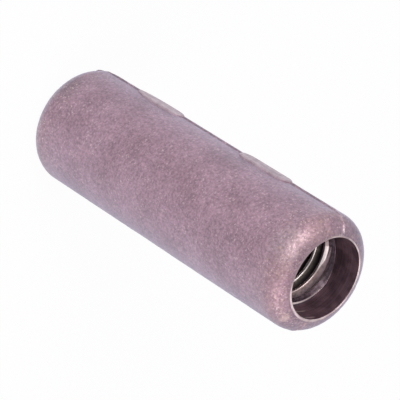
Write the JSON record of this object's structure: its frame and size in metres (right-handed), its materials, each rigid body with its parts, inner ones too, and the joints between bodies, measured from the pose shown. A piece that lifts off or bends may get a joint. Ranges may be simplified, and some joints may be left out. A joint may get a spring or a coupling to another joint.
{
  "type": "ground rod coupling",
  "caption": "Cast bronze sleeve with rounded ends and a tapped through bore, which screws two threaded ground rods together end to end.",
  "frame": {"origin": "centre of the lower rim, on the surface that the sleeve stands on", "axes": "+Z along the bore towards the upper mouth; the mould's parting plane is XZ, with the gate stubs on the -X side"},
  "size_m": [0.024, 0.0234, 0.0725],
  "materials": {
    "cast_bronze": "matte sand-cast skin, mauve brown, with a brighter machined bore"
  },
  "bodies": {
    "root": {"coupling_sleeve": "cast_bronze"}
  },
  "joints": []
}
